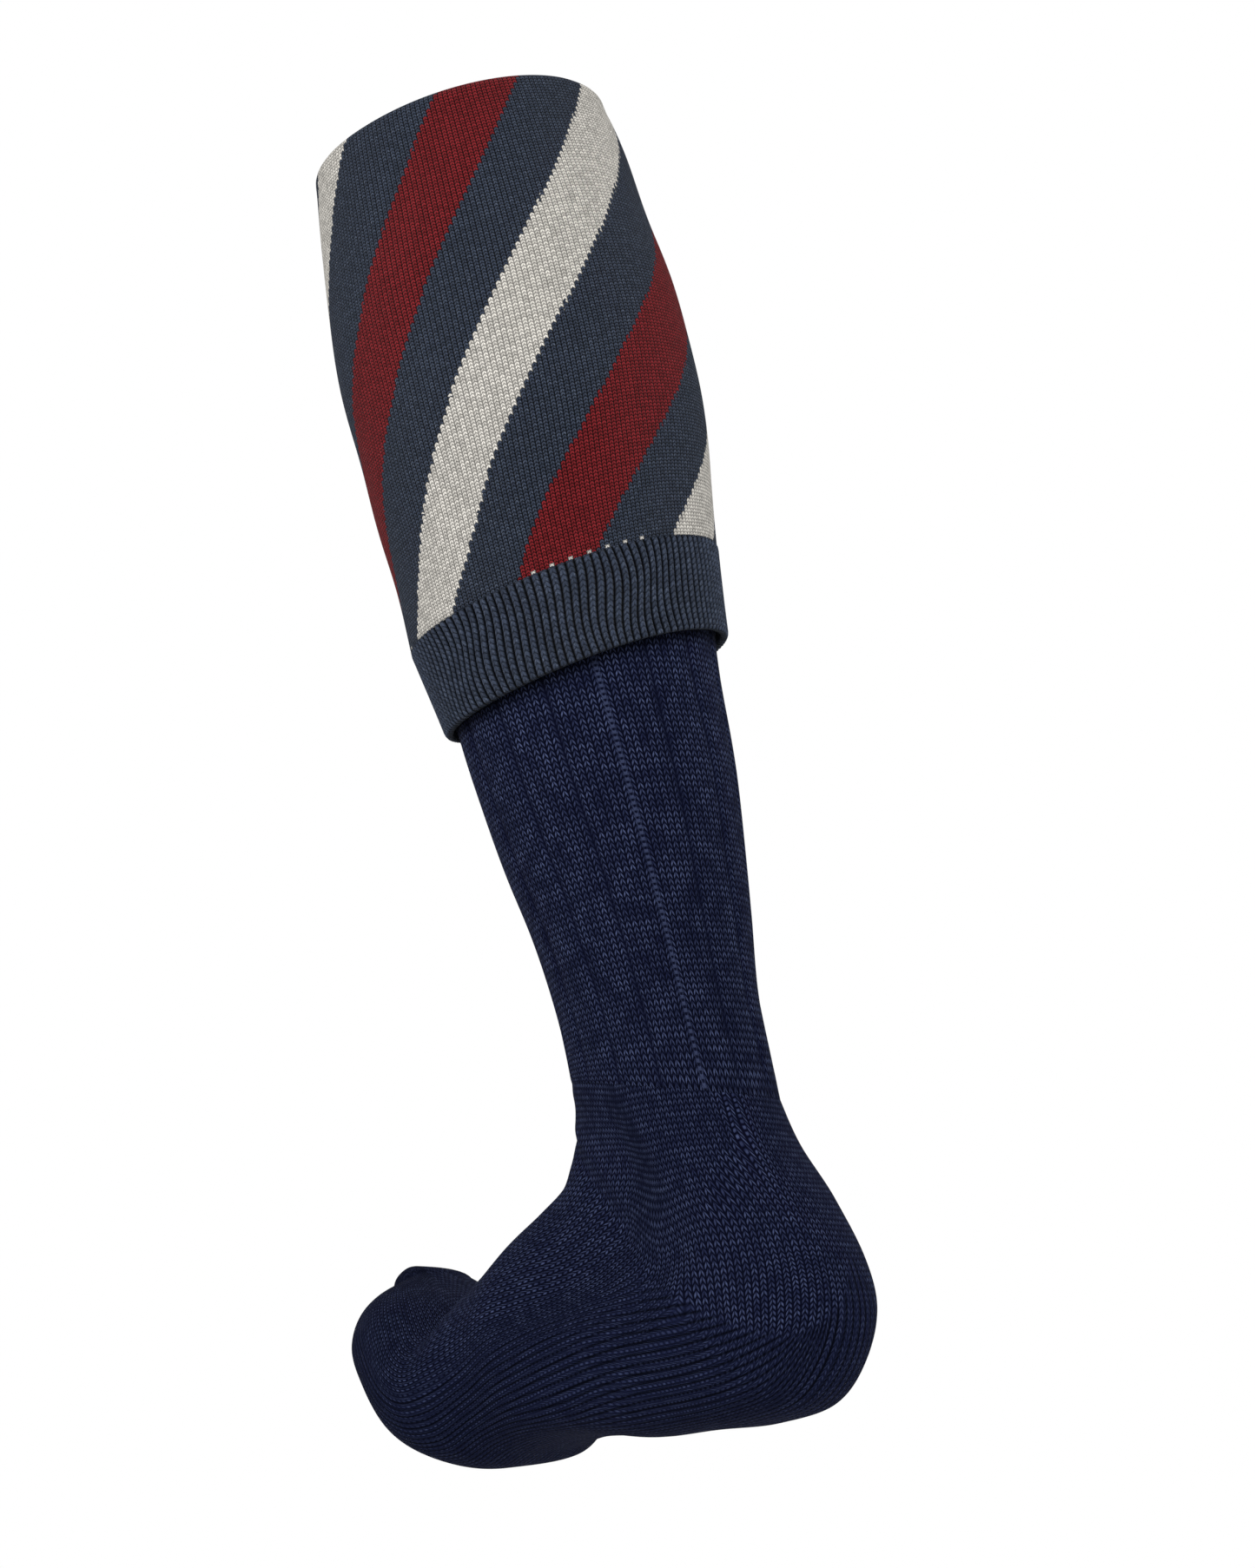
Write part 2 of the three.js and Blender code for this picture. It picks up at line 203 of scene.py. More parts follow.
def lean_at(level):
    """Sideways shift of the leaning leg at a height."""
    lift = np.maximum(level - SOLE - LEAN_FROM, 0)
    return np.tan(np.radians(LEAN_TO_SIDE)) * lift ** 2 / (lift + LEAN_FROM / 3)


def blunted(value, power):
    return np.sign(value) * np.abs(value) ** power


def ring_point(ring, angle, inset=0.0, scale=1.0, ahead=0.0):
    """Points on rings given as front_y front_z back_y back_z inner outer sag blunt."""
    front_y, front_z, back_y, back_z, inner, outer, sag, blunt = np.moveaxis(ring, -1, 0)
    middle_y = (front_y + back_y) / 2
    middle_z = (front_z + back_z) / 2
    to_front_y = front_y - middle_y
    to_front_z = front_z - middle_z
    reach = np.hypot(to_front_y, to_front_z)
    to_front_y = to_front_y / reach
    to_front_z = to_front_z / reach
    side = blunted(np.sin(angle), blunt)
    half_width = np.where(side >= 0, outer, inner)
    lengthwise = blunted(np.cos(angle), blunt) * (reach - inset) - side ** 2 * sag * reach
    y = middle_y + to_front_y * lengthwise * scale - to_front_z * ahead
    z = middle_z + to_front_z * lengthwise * scale + to_front_y * ahead
    x = side * (half_width - inset) * scale + lean_at(z)
    return np.stack(np.broadcast_arrays(x, y, z), axis=-1)


def leg_sizes(level):
    """Front, back and half width of the leg at heights."""
    shares = smooth_rows(LEG_ROWS[:, 0], LEG_ROWS[:, 1:], (level - BEND) / LEG_HEIGHT)
    return shares[..., 0] * CALF_DEPTH, shares[..., 1] * CALF_DEPTH, shares[..., 2] * CALF_WIDTH


def leg_ring(front_level, back_level):
    front = leg_sizes(front_level)[0]
    back = leg_sizes(back_level)[1]
    side = leg_sizes((front_level + back_level) / 2)[2]
    parts = (front, front_level, back, back_level, side, side, 0 * side, LEG_BLUNT + 0 * side)
    return np.stack(np.broadcast_arrays(*parts), axis=-1)


def slanted_point(level, angle, out, slope_back, slope_inner):
    """Point of the leg where a slanting course passes it, with slopes given as tangents."""
    front, back, side = leg_sizes(level)
    rise = -(slope_back * np.cos(angle) * (back - front) / 2 + slope_inner * np.sin(angle) * side)
    return ring_point(leg_ring(level + rise, level + rise), angle, -out)


def mixed_slope(low, high, share):
    low, high = (np.tan(np.radians(value)) for value in (low, high))
    return low + (high - low) * share


def stand_at(drop, angle):
    """How far the cuff's inner face stands off the leg."""
    ahead = (1 + np.cos(angle)) / 2
    edge = EDGE_STAND_BACK + (EDGE_STAND_FRONT - EDGE_STAND_BACK) * ahead
    share = np.clip(drop / CUFF_LENGTH, 0, 1)
    hung = CUFF_STAND + (edge - CUFF_STAND) * share ** 3
    below = np.clip((drop - CUFF_LENGTH) / WELT_HEIGHT, 0, 1)
    return hung + (WELT_STAND - edge) * below


def cuff_point(drop, angle, out):
    """Point of the turned-over cuff, a way down from the fold and out from the leg."""
    share = np.clip(drop / CUFF_LENGTH, 0, 1)
    slope_back = mixed_slope(FOLD_RISE_BACK, EDGE_RISE_BACK, share)
    slope_inner = mixed_slope(FOLD_RISE_INNER, EDGE_RISE_INNER, share)
    nearer = (1 + np.cos(angle - np.radians(125))) / 2
    slack = 3.0 * nearer * share ** 2
    seat = slanted_point(FOLD - np.maximum(drop, 0) - slack, angle, out, slope_back, slope_inner)
    lift = np.maximum(-drop, 0)
    lean = np.tan(np.radians(LEAN_TO_SIDE))
    return seat + np.stack(np.broadcast_arrays(lean * lift, 0 * lift, lift), axis=-1)


def ring_faces(rows, columns, closed):
    """Quads between rows that each close into a ring, and their corners' places in an open map."""
    r, c = np.meshgrid(np.arange(rows if closed else rows - 1), np.arange(columns), indexing="ij")
    steps = ((0, 0), (0, 1), (1, 1), (1, 0))
    faces = [((r + up) % rows) * columns + (c + on) % columns for up, on in steps]
    places = [(r + up) * (columns + 1) + c + on for up, on in steps]
    return np.stack(faces, -1).reshape(-1, 4), np.stack(places, -1).reshape(-1, 4)


def way_along(points):
    """Distance along the mean line of a grid's rows."""
    steps = np.linalg.norm(np.diff(points.mean(1), axis=0), axis=-1)
    return np.concatenate([[0], np.cumsum(steps)])


def paired(first, second):
    """Two grids of values as one list of map points."""
    return np.stack(np.broadcast_arrays(first, second), -1).reshape(-1, 2)


def opened(values):
    """A grid's values with its first column repeated at its end, and its first row as well."""
    wide = np.concatenate([values, values[:, :1]], axis=1)
    return np.concatenate([wide, wide[:1]], axis=0)


def surface_normals(points):
    """Outward directions on a grid whose rows are closed rings."""
    along = np.gradient(points, axis=0)
    across = np.roll(points, -1, axis=1) - np.roll(points, 1, axis=1)
    normal = np.cross(across, along)
    return normal / np.maximum(np.linalg.norm(normal, axis=-1, keepdims=True), 1e-9)


def unevenness(points, size):
    """Gentle waves of a hand-pulled knit, the same at each run."""
    x, y, z = np.moveaxis(points, -1, 0)
    waves = np.sin(x / 9.1 + z / 17.3 + 0.4) * np.sin(y / 11.7 - z / 23.9 + 1.3)
    waves = waves + 0.6 * np.sin(z / 13.3 + y / 29.1 + 2.2) * np.sin(x / 15.7 - y / 8.3)
    return size * waves


def make_piece(name, node, points, faces, maps, material, normals=None):
    """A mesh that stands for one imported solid, with per-corner maps."""
    mesh = bpy.data.meshes.new(name)
    mesh.from_pydata((points / 1000).reshape(-1, 3).tolist(), [], faces)
    for label, values in maps.items():
        layer = mesh.uv_layers.new(name=label)
        layer.data.foreach_set("uv", values.astype(np.float32).ravel())
    mesh.polygons.foreach_set("use_smooth", np.ones(len(mesh.polygons), dtype=bool))
    if normals is not None:
        mesh.normals_split_custom_set_from_vertices(normals.tolist())
    mesh.materials.append(material)
    piece = bpy.data.objects.new(name, mesh)
    bpy.context.scene.collection.objects.link(piece)
    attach(piece, "root")
    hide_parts(node)


class Knit:
    """Short names for the nodes of one knitted material."""

    def __init__(self, name):
        self.material = bpy.data.materials.new(name)
        self.material.use_nodes = True
        self.tree = self.material.node_tree
        self.tree.nodes.clear()
        self.place = self.add("ShaderNodeTexCoord").outputs["Object"]

    def add(self, kind, **settings):
        node = self.tree.nodes.new(kind)
        for key, value in settings.items():
            setattr(node, key, value)
        return node

    def put(self, socket, value):
        if isinstance(value, bpy.types.NodeSocket):
            self.tree.links.new(value, socket)
        else:
            socket.default_value = value

    def maths(self, operation, *values):
        node = self.add("ShaderNodeMath", operation=operation)
        for socket, value in zip(node.inputs, values):
            self.put(socket, value)
        return node.outputs[0]

    def step(self, value, low, high):
        """Smooth change from 0 to 1 as the value goes from low to high."""
        node = self.add("ShaderNodeMapRange", interpolation_type="SMOOTHSTEP")
        self.put(node.inputs["Value"], value)
        self.put(node.inputs["From Min"], low)
        self.put(node.inputs["From Max"], high)
        return node.outputs["Result"]

    def between(self, value, low, high):
        """One where the value lies between two limits, and nought elsewhere."""
        above = self.maths("GREATER_THAN", value, low)
        return self.maths("MULTIPLY", above, self.maths("LESS_THAN", value, high))

    def mix(self, factor, first, second):
        node = self.add("ShaderNodeMix", data_type="RGBA")
        for place, value in ((0, factor), (6, first), (7, second)):
            self.put(node.inputs[place], value)
        return node.outputs[2]

    def blend(self, factor, first, second):
        node = self.add("ShaderNodeMix", data_type="FLOAT")
        for place, value in ((0, factor), (2, first), (3, second)):
            self.put(node.inputs[place], value)
        return node.outputs[0]

    def tint(self, colour, factor):
        """A colour made darker or lighter by a factor."""
        node = self.add("ShaderNodeMix", data_type="RGBA", blend_type="MULTIPLY")
        grey = self.add("ShaderNodeCombineColor")
        for socket in grey.inputs:
            self.put(socket, factor)
        self.put(node.inputs[0], 1.0)
        self.put(node.inputs[6], colour)
        self.put(node.inputs[7], grey.outputs[0])
        return node.outputs[2]

    def map(self, label):
        """The two values of a named map."""
        split = self.add("ShaderNodeSeparateXYZ")
        self.put(split.inputs[0], self.add("ShaderNodeUVMap", uv_map=label).outputs[0])
        return split.outputs[0], split.outputs[1]

    def noise(self, scale, detail=2.0):
        node = self.add("ShaderNodeTexNoise")
        self.put(node.inputs["Vector"], self.place)
        self.put(node.inputs["Scale"], scale)
        self.put(node.inputs["Detail"], detail)
        return node.outputs[0]

    def chance(self, first, second):
        """A random value of each whole cell of two counts."""
        joined = self.add("ShaderNodeCombineXYZ")
        self.put(joined.inputs[0], self.maths("FLOOR", first))
        self.put(joined.inputs[1], self.maths("FLOOR", second))
        node = self.add("ShaderNodeTexWhiteNoise", noise_dimensions="3D")
        self.put(node.inputs["Vector"], joined.outputs[0])
        return node.outputs["Value"]

    def stitches(self, wale, course, lean):
        """Height of plain stitches, their own courses, and how far off its wale's middle each is."""
        across = self.maths("ABSOLUTE", self.maths("SUBTRACT", self.maths("FRACT", wale), 0.5))
        own = self.maths("MULTIPLY_ADD", across, lean, course)
        border = self.maths("SUBTRACT", 1.0, self.step(across, 0.3, 0.5))
        middle = self.maths("MULTIPLY_ADD", self.step(across, 0.0, 0.12), 0.6, 0.4)
        body = self.maths("SINE", self.maths("MULTIPLY", self.maths("FRACT", own), np.pi))
        height = self.maths("MULTIPLY", self.maths("MULTIPLY", border, middle), body)
        return self.maths("POWER", self.maths("MAXIMUM", height, 0.0), 0.7), own, across

    def finish(self, colour, height, depth, roughness, sheen):
        """Shader with the yarn's fuzz added to the stitch height."""
        fuzz = self.maths("MULTIPLY", self.noise(2600.0, 3.0), 0.35)
        bump = self.add("ShaderNodeBump")
        self.put(bump.inputs["Height"], self.maths("ADD", height, fuzz))
        self.put(bump.inputs["Strength"], 1.0)
        self.put(bump.inputs["Distance"], depth / 1000)
        shader = self.add("ShaderNodeBsdfPrincipled")
        self.put(shader.inputs["Base Color"], colour)
        self.put(shader.inputs["Roughness"], roughness)
        self.put(shader.inputs["Specular IOR Level"], 0.02)
        self.put(shader.inputs["Sheen Weight"], sheen)
        self.put(shader.inputs["Sheen Roughness"], 0.5)
        self.put(shader.inputs["Normal"], bump.outputs[0])
        output = self.add("ShaderNodeOutputMaterial")
        self.put(output.inputs["Surface"], shader.outputs[0])
        return self.material


def colour(red, green, blue):
    """Linear colour from the usual 0 to 255 values."""
    share = np.array([red, green, blue]) / 255
    linear = np.where(share <= 0.04045, share / 12.92, ((share + 0.055) / 1.055) ** 2.4)
    return (*linear.tolist(), 1.0)


# Painted shade colour, for the gaps between stitches and the rib grooves of the navy knit
NAVY_SHADE = colour(7, 9, 26)
NAVY = colour(24, 29, 54)
NAVY_LIGHT = colour(78, 88, 122)
SLATE = colour(53, 61, 76)
SLATE_LIGHT = colour(98, 107, 123)
RED = colour(122, 33, 38)
CREAM = colour(212, 208, 200)
WELT_SLATE = colour(46, 53, 67)


def leg_material():
    knit = Knit("ribbed navy knit")
    wale, course = knit.map("Stitches")
    height, own, _ = knit.stitches(wale, course, 1.9)
    chance = knit.chance(wale, own)
    rib = knit.maths("FRACT", knit.maths("DIVIDE", wale, RIB_WALES))
    from_middle = knit.maths("ABSOLUTE", knit.maths("SUBTRACT", rib, 0.5))
    off = knit.maths("MULTIPLY", knit.maths("SUBTRACT", 0.5, from_middle), RIB_WALES)
    groove = knit.maths("SUBTRACT", 1.0, knit.step(off, 0.15, 0.5))
    bars = knit.maths("SINE", knit.maths("MULTIPLY", knit.maths("FRACT", course), np.pi))
    number = knit.maths("ROUND", knit.maths("DIVIDE", wale, RIB_WALES))
    light_rib = knit.maths("COMPARE", number, 5.0, 0.6)
    worn = knit.noise(140.0, 3.0)
    varied = knit.maths("MULTIPLY_ADD", chance, 0.7, 0.3)
    fleck = knit.maths("MULTIPLY", knit.step(height, 0.6, 0.98), varied)
    fleck = knit.maths("MULTIPLY", fleck, knit.step(worn, 0.2, 0.65))
    # Painted shade: the gaps between stitches take the darkest navy, and the rib grooves are
    # darkened towards it
    plain = knit.mix(knit.step(height, 0.25, 0.8), NAVY_SHADE, NAVY)
    plain = knit.mix(knit.maths("MULTIPLY", fleck, 0.8), plain, NAVY_LIGHT)
    light_bars = knit.maths("MULTIPLY", light_rib, 0.6)
    light_bars = knit.maths("MULTIPLY", knit.step(bars, 0.4, 0.9), light_bars)
    ladder = knit.mix(light_bars, NAVY_SHADE, NAVY_LIGHT)
    tone = knit.mix(knit.maths("MULTIPLY", groove, 0.6), plain, ladder)
    # Painted shade: the knit is darkened just under the welt, where less light reaches it
    under_welt_shade, _ = knit.map("Shade")
    tone = knit.tint(tone, knit.blend(under_welt_shade, 0.3, 1.0))
    relief = knit.blend(groove, height, knit.maths("MULTIPLY", bars, 0.4))
    return knit.finish(tone, relief, 0.9, 0.9, 0.0)


def foot_material():
    knit = Knit("terry navy knit")
    wale, course = knit.map("Stitches")
    strength, ridge_place = knit.map("Ridges")
    wale = knit.maths("MULTIPLY", wale, FINE_WALES / FOOT_WALES)
    height, own, _ = knit.stitches(wale, course, 1.8)
    chance = knit.chance(wale, own)
    ridge = knit.maths("SINE", knit.maths("MULTIPLY", knit.maths("FRACT", ridge_place), np.pi))
    patchy = knit.noise(260.0, 3.0)
    ridge_height = knit.maths("MULTIPLY", strength, 1.5)
    relief = knit.maths("MULTIPLY_ADD", ridge, ridge_height, knit.maths("MULTIPLY", height, 0.8))
    # Painted shade: the valleys between the terry ridges are darkened to 0.3 of their colour, and
    # the gaps between stitches take the darkest navy
    low = knit.maths("SUBTRACT", 1.0, knit.step(ridge, 0.1, 0.75))
    valley_shade = knit.maths("MULTIPLY", strength, low)
    fleck = knit.maths("MULTIPLY", knit.step(height, 0.6, 0.98), knit.step(chance, -0.5, 1.0))
    fleck = knit.maths("MULTIPLY", fleck, knit.step(patchy, 0.15, 0.7))
    fleck = knit.maths("MULTIPLY", fleck, knit.blend(strength, 0.6, 0.35))
    tone = knit.mix(knit.step(height, knit.blend(strength, 0.25, -0.6), 0.8), NAVY_SHADE, NAVY)
    tone = knit.mix(fleck, tone, NAVY_LIGHT)
    tone = knit.tint(tone, knit.maths("MULTIPLY_ADD", valley_shade, -0.7, 1.0))
    return knit.finish(tone, relief, 1.0, 0.92, 0.0)


def cuff_material():
    knit = Knit("striped cuff knit")
    wale, course = knit.map("Stitches")
    stripe, from_edge = knit.map("Stripes")
    lean = 1.2
    height, own, _ = knit.stitches(wale, course, lean)
    chance = knit.chance(wale, own)
    # Each stitch takes the stripe of its own middle, so the stripes' edges are stepped
    to_middle = knit.maths("SUBTRACT", 0.5, knit.maths("FRACT", wale))
    own_middle = knit.maths("ADD", knit.maths("FLOOR", own), 0.5 - lean / 4)
    up_to_middle = knit.maths("SUBTRACT", own_middle, course)
    stripe = knit.maths("MULTIPLY_ADD", to_middle, -2 * CUFF_COURSE / STRIPE_PERIOD, stripe)
    stripe = knit.maths("MULTIPLY_ADD", up_to_middle, CUFF_COURSE / STRIPE_PERIOD, stripe)
    place = knit.maths("MULTIPLY", knit.maths("FRACT", stripe), STRIPE_PERIOD)
    cream = knit.maths("LESS_THAN", place, CREAM_END)
    red = knit.between(place, RED_START, RED_END)
    # Cream yarn shows in a few stitches of the last course, where it is carried behind
    number = knit.maths("ADD", knit.maths("FLOOR", wale), 0.5)
    chosen = knit.maths("FRACT", knit.maths("DIVIDE", number, CARRIED_EVERY))
    chosen = knit.maths("LESS_THAN", chosen, 1 / CARRIED_EVERY)
    carried = knit.maths("MULTIPLY", chosen, knit.maths("LESS_THAN", from_edge, 1.1))
    near_red = knit.between(place, CARRIED_START, CARRIED_END)
    cream = knit.maths("MAXIMUM", cream, knit.maths("MULTIPLY", carried, near_red))
    fibres = knit.noise(1500.0, 3.0)
    heather = knit.maths("MULTIPLY", knit.step(fibres, 0.5, 0.75), 0.55)
    tone = knit.mix(heather, SLATE, SLATE_LIGHT)
    tone = knit.mix(red, tone, RED)
    tone = knit.mix(cream, tone, CREAM)
    # Painted shade: the gaps between stitches are darkened, deeply on the slate and red, lightly on
    # the cream
    shade = knit.step(height, 0.2, 0.8)
    gap_shade = knit.blend(cream, 0.06, 0.35)
    factor = knit.blend(shade, gap_shade, 1.0)
    varied = knit.maths("MULTIPLY_ADD", chance, 0.4, 0.75)
    tone = knit.tint(tone, knit.maths("MULTIPLY", factor, varied))
    return knit.finish(tone, height, 0.55, 0.9, 0.03)


def welt_material():
    knit = Knit("slate welt knit")
    wale, course = knit.map("Stitches")
    height, own, across = knit.stitches(wale, course, 1.2)
    chance = knit.chance(wale, own)
    fibres = knit.noise(1500.0, 3.0)
    heather = knit.maths("MULTIPLY", knit.step(fibres, 0.5, 0.8), 0.5)
    tone = knit.mix(heather, WELT_SLATE, SLATE_LIGHT)
    # Painted shade and light: the valleys between the ribs and the gaps between stitches are
    # darkened, and the stitch tops a little lightened
    valley_shade = knit.step(across, 0.22, 0.46)
    factor = knit.blend(knit.step(height, 0.1, 0.8), 0.4, 1.1)
    factor = knit.maths("MULTIPLY", factor, knit.maths("MULTIPLY_ADD", valley_shade, -0.9, 1.0))
    varied = knit.maths("MULTIPLY_ADD", chance, 0.5, 0.8)
    tone = knit.tint(tone, knit.maths("MULTIPLY", factor, varied))
    return knit.finish(tone, height, 0.5, 0.9, 0.03)


def rib_profile(wale):
    """Height of the broad ribs: a narrow groove after each seven wales, and a slight crown."""
    rib = wale / RIB_WALES
    off = np.abs(rib - np.round(rib)) * RIB_WALES
    crown = 0.25 * np.sin(np.pi * np.minimum(off / 3.5, 1) / 2)
    return crown - RIB_DEPTH * np.exp(-(off / 0.5) ** 2)


def first_ribbed_ring():
    return leg_ring(np.array(BEND + RIBBED_FRONT), np.array(BEND + RIBBED_BACK))


def leg_surface(step, angle, out):
    """Leg between its first ribbed course (step 0) and the fold (step 1)."""
    level = BEND + RIBBED_FRONT + step * (LEG_HEIGHT - RIBBED_FRONT)
    slope_back = np.tan(np.radians(FOLD_RISE_BACK * step))
    slope_inner = np.tan(np.radians(FOLD_RISE_INNER * step))
    slanted = slanted_point(level, angle, out, slope_back, slope_inner)
    lowest = ring_point(first_ribbed_ring(), angle, -out)
    share = np.clip(step / 0.05, 0, 1)[..., None]
    return lowest + (slanted - lowest) * share ** 0.75


def leg_knit():
    columns = LEG_WALES * 4
    wale = np.arange(columns + 1) / 4
    shown = np.linspace(0, 0.5, 160)
    hidden = np.linspace(0.5, 1, 18)[1:]
    step = np.concatenate([shown, hidden])[:, None]
    level = BEND + RIBBED_FRONT + step * (LEG_HEIGHT - RIBBED_FRONT)
    phase = 12 + 4 * (240 - level) / 85
    angle = np.radians(phase + wale[None, :] * 360 / LEG_WALES)
    outer = leg_surface(step + 0 * angle, angle, 0.0)
    normals = surface_normals(outer[:, :-1])
    relief = rib_profile(wale[None, :-1]) * np.minimum(1, (level - level[0]) / 4)
    outer = outer[:, :-1] + normals * (relief + unevenness(outer[:, :-1], 0.25))[..., None]
    few = step[::22]
    inner = leg_surface(few + 0 * angle[::22], angle[::22], -LEG_WALL)[::-1, :-1]
    points = np.concatenate([outer, inner])
    faces, places = ring_faces(len(points), columns, closed=True)
    length = way_along(outer)
    course = np.concatenate([length, length[-1] + np.arange(1, len(inner) + 2) * 20.0]) / LEG_COURSE
    stitches = paired(wale[None, :], course[:, None])
    # Painted shade: the Shade map darkens the leg under the welt and fades out 6 mm below the welt's
    # edge
    edge = cuff_point(CUFF_LENGTH + WELT_HEIGHT + 0 * angle, angle, WELT_STAND)[..., 2]
    below = np.concatenate([edge[:, :-1] - outer[..., 2], np.full(inner.shape[:2], 20.0)])
    shade = paired(opened(smooth_step(below, -1, 6)), 0.0)
    make_piece("leg_knit", "leg", points, faces.tolist(),
               {"Stitches": stitches[places], "Shade": shade[places]}, leg_material())


def foot_rings():
    """Rings of the foot from the toes to the first ribbed course, in millimetres."""
    starts = np.array([HEEL_BACK, SOLE, HEEL_BACK, SOLE, 0, 0, 0, FOOT_BLUNT])
    sizes = np.array([-FOOT_LENGTH, INSTEP_HEIGHT, -FOOT_LENGTH, INSTEP_HEIGHT,
                      FOOT_WIDTH, FOOT_WIDTH, 1, LEG_BLUNT - FOOT_BLUNT])
    return np.concatenate([starts + FOOT_ROWS * sizes, first_ribbed_ring()[None]])


def even_places(rings, spacing):
    """Places along the rings whose rows are evenly spaced where they fan out most."""
    places = np.arange(len(rings))
    fine = np.linspace(0, len(rings) - 1, 1200)
    looks = np.radians([0, 90, 180, 270])
    points = ring_point(smooth_rows(places, rings, fine)[:, None], looks[None, :])
    lengths = np.linalg.norm(np.diff(points, axis=0), axis=-1).max(1)
    total = np.concatenate([[0], np.cumsum(lengths)])
    return np.interp(np.linspace(0, total[-1], int(total[-1] / spacing) + 1), total, fine)


def smooth_step(value, low, high):
    t = np.clip((value - low) / (high - low), 0, 1)
    return t * t * (3 - 2 * t)


def arc_share(turn, width_to_length, power):
    """Share of the way round a quarter of a blunted oval, for ovals of any proportions."""
    turns = np.linspace(0, np.pi / 2, 200)
    place = np.clip((width_to_length - 0.3) / 0.1, 0, 12)
    share = 0 * turn + 0 * place
    for step in range(13):
        across = (0.3 + 0.1 * step) * np.cos(turns) ** power
        lengths = np.hypot(np.diff(np.sin(turns) ** power), np.diff(across))
        way = np.concatenate([[0], np.cumsum(lengths)])
        near = np.maximum(0, 1 - np.abs(place - step))
        share = share + np.interp(turn, turns, way / way[-1]) * near
    return share


def heel_wales(points):
    """Wales counted from the gore's corner, round the back of the heel and under the sole."""
    x, y, z = np.moveaxis(points, -1, 0)
    half_width = 0.32 * FOOT_WIDTH
    corner_z = np.interp(y, *CORNER_LINE.T)
    back = np.interp(z, *HEEL_PROFILE.T)
    depth, height = back - CORNER_Y, corner_z - SOLE
    side = np.clip(np.abs(x - lean_at(z)) / half_width, 0.02, 1)
    behind = np.clip((y - CORNER_Y) / depth, 0, 1)
    below = np.clip((corner_z - z) / height, 0, 1)
    round_back = np.arctan2(behind ** 1.1, side ** 1.1)
    round_back = arc_share(round_back, half_width / depth, 0.9)
    round_sole = np.arctan2(below ** 1.15, side ** 1.15)
    round_sole = arc_share(round_sole, half_width / height, 0.87)
    back_wales = np.where(y > CORNER_Y, FOOT_WALES * round_back, (y - CORNER_Y) / FOOT_WALE)
    sole_wales = np.where(z < corner_z, FOOT_WALES * round_sole * (0.82 + 0.18 * round_sole),
                          (corner_z - z) / FOOT_WALE)
    return back_wales, sole_wales


def foot_wales(points, angle, proportions):
    """Wales and courses of the foot, with the mitred gore on each side of the heel."""
    x, y, _ = np.moveaxis(points, -1, 0)
    folded = np.degrees(np.minimum(angle, 2 * np.pi - angle)) + 0 * x
    way_round = arc_share(np.radians(np.abs(folded - 90)), proportions, 0.9)
    turned = FOOT_WALES * np.sign(folded - 90) * way_round
    steps = np.linalg.norm(np.diff(points, axis=0), axis=-1)
    run = np.concatenate([np.cumsum(steps[::-1], axis=0)[::-1], 0 * steps[:1]])
    turned_course = (run - 60) / LEG_COURSE
    back_wales, sole_wales = heel_wales(points)
    middle = (back_wales + sole_wales) / 2
    softness = 12 - 10.5 * smooth_step(middle, 1, 6)
    apart = back_wales - sole_wales
    mitred = (back_wales + sole_wales + np.sqrt(apart ** 2 + softness ** 2)) / 2
    mitred = mitred - softness / 2 * np.exp(-(apart / 12) ** 2) * (1 - smooth_step(middle, 1, 6))
    mitred_course = (mitred - apart) * FOOT_WALE / LEG_COURSE
    beyond_gore = GORE_SLANT * sole_wales - back_wales
    share = smooth_step(y, -75, -15) * smooth_step(folded, 76, 92)
    share = share * (1 - smooth_step(folded, 140, 162))
    wale = turned + (mitred - turned) * share
    course = turned_course + (mitred_course - turned_course) * share
    ridge = turned + (sole_wales - turned) * share
    ridged = smooth_step(beyond_gore, -1, 1) * smooth_step(folded, 78, 100)
    ridged = np.maximum(ridged, smooth_step(-y, -5, 30) * smooth_step(folded, 74, 98))
    gore = np.exp(-(beyond_gore / 1.3) ** 2) * smooth_step(middle, 2, 5) * share
    return wale, -course, ridged, ridge, gore


